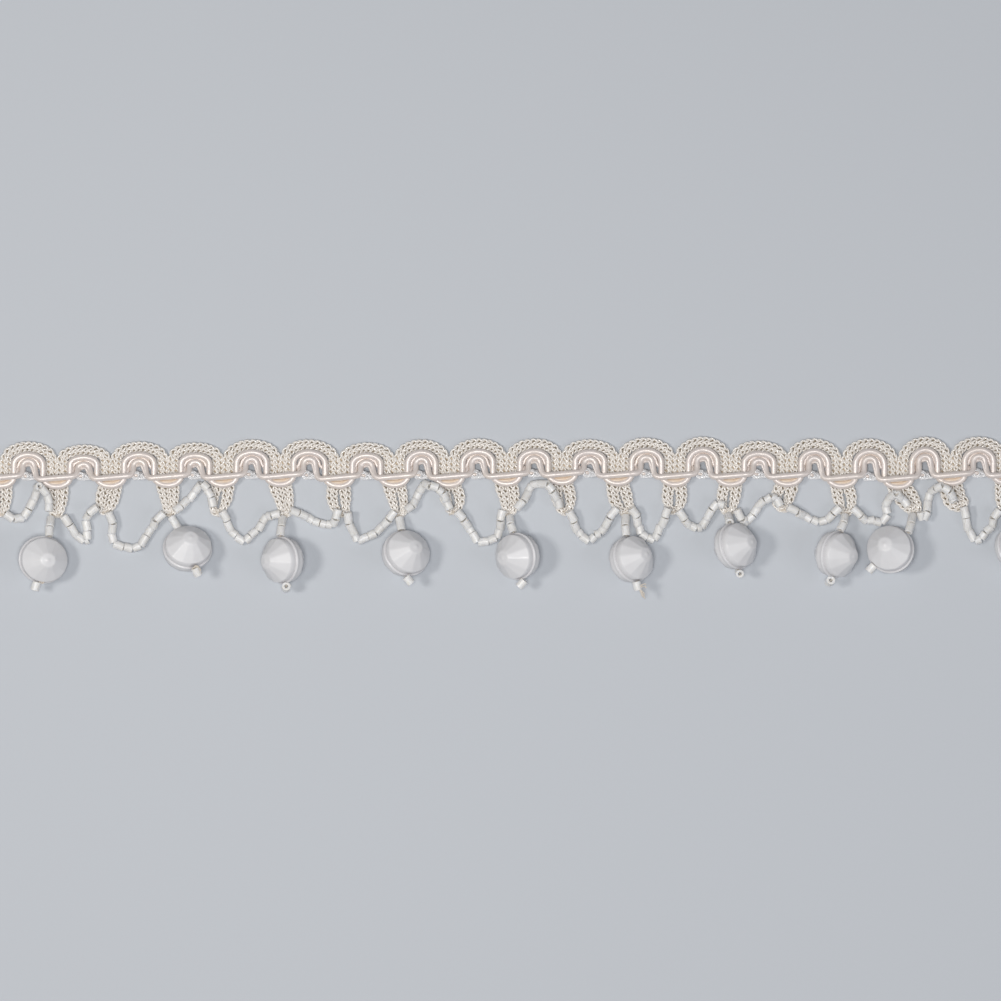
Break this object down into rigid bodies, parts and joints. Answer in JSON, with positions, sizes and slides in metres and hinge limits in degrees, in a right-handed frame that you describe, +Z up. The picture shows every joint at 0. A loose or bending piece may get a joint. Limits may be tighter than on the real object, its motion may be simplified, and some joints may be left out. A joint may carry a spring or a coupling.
{
  "type": "beaded loop fringe trim",
  "caption": "Straight length of cream dress trimming with a scalloped knitted heading laid with satin cord, hanging tape loops, swags of cylinder beads and white faceted ball pendants.",
  "frame": {"origin": "middle of the underside of the trim as it lies flat on its back", "axes": "+X along the trim, +Y towards its scalloped edge, +Z up off the surface, the way its face looks"},
  "size_m": [0.2412, 0.0363, 0.0105],
  "materials": {
    "knit_cream": "knitted lustrous yarn",
    "satin_cord": "satin",
    "cylinder_beads": "semi-gloss",
    "faceted_balls": "gloss"
  },
  "bodies": {
    "root": {"knitted_tape": "knit_cream", "outer_satin_cord": "satin_cord", "inner_satin_cord": "satin_cord", "bead_string_01": "cylinder_beads", "bead_string_02": "cylinder_beads", "bead_string_03": "cylinder_beads", "bead_string_04": "cylinder_beads", "bead_string_05": "cylinder_beads", "bead_string_06": "cylinder_beads", "bead_string_07": "cylinder_beads", "bead_string_08": "cylinder_beads", "bead_string_09": "cylinder_beads", "bead_string_10": "cylinder_beads", "bead_string_11": "cylinder_beads", "bead_string_12": "cylinder_beads", "bead_string_13": "cylinder_beads", "bead_string_14": "cylinder_beads", "bead_string_15": "cylinder_beads", "bead_string_16": "cylinder_beads", "bead_string_17": "cylinder_beads", "bead_string_18": "cylinder_beads", "neck_beads_01": "cylinder_beads", "ball_01": "faceted_balls", "stopper_bead_01": "cylinder_beads", "neck_beads_02": "cylinder_beads", "ball_02": "faceted_balls", "stopper_bead_02": "cylinder_beads", "neck_beads_03": "cylinder_beads", "ball_03": "faceted_balls", "stopper_bead_03": "cylinder_beads", "neck_beads_04": "cylinder_beads", "ball_04": "faceted_balls", "stopper_bead_04": "cylinder_beads", "neck_beads_05": "cylinder_beads", "ball_05": "faceted_balls", "stopper_bead_05": "cylinder_beads", "neck_beads_06": "cylinder_beads", "ball_06": "faceted_balls", "stopper_bead_06": "cylinder_beads", "neck_beads_07": "cylinder_beads", "ball_07": "faceted_balls", "stopper_bead_07": "cylinder_beads", "neck_beads_08": "cylinder_beads", "ball_08": "faceted_balls", "stopper_bead_08": "cylinder_beads", "neck_beads_09": "cylinder_beads", "ball_09": "faceted_balls", "stopper_bead_09": "cylinder_beads", "neck_beads_10": "cylinder_beads", "ball_10": "faceted_balls", "stopper_bead_10": "cylinder_beads"}
  },
  "joints": []
}
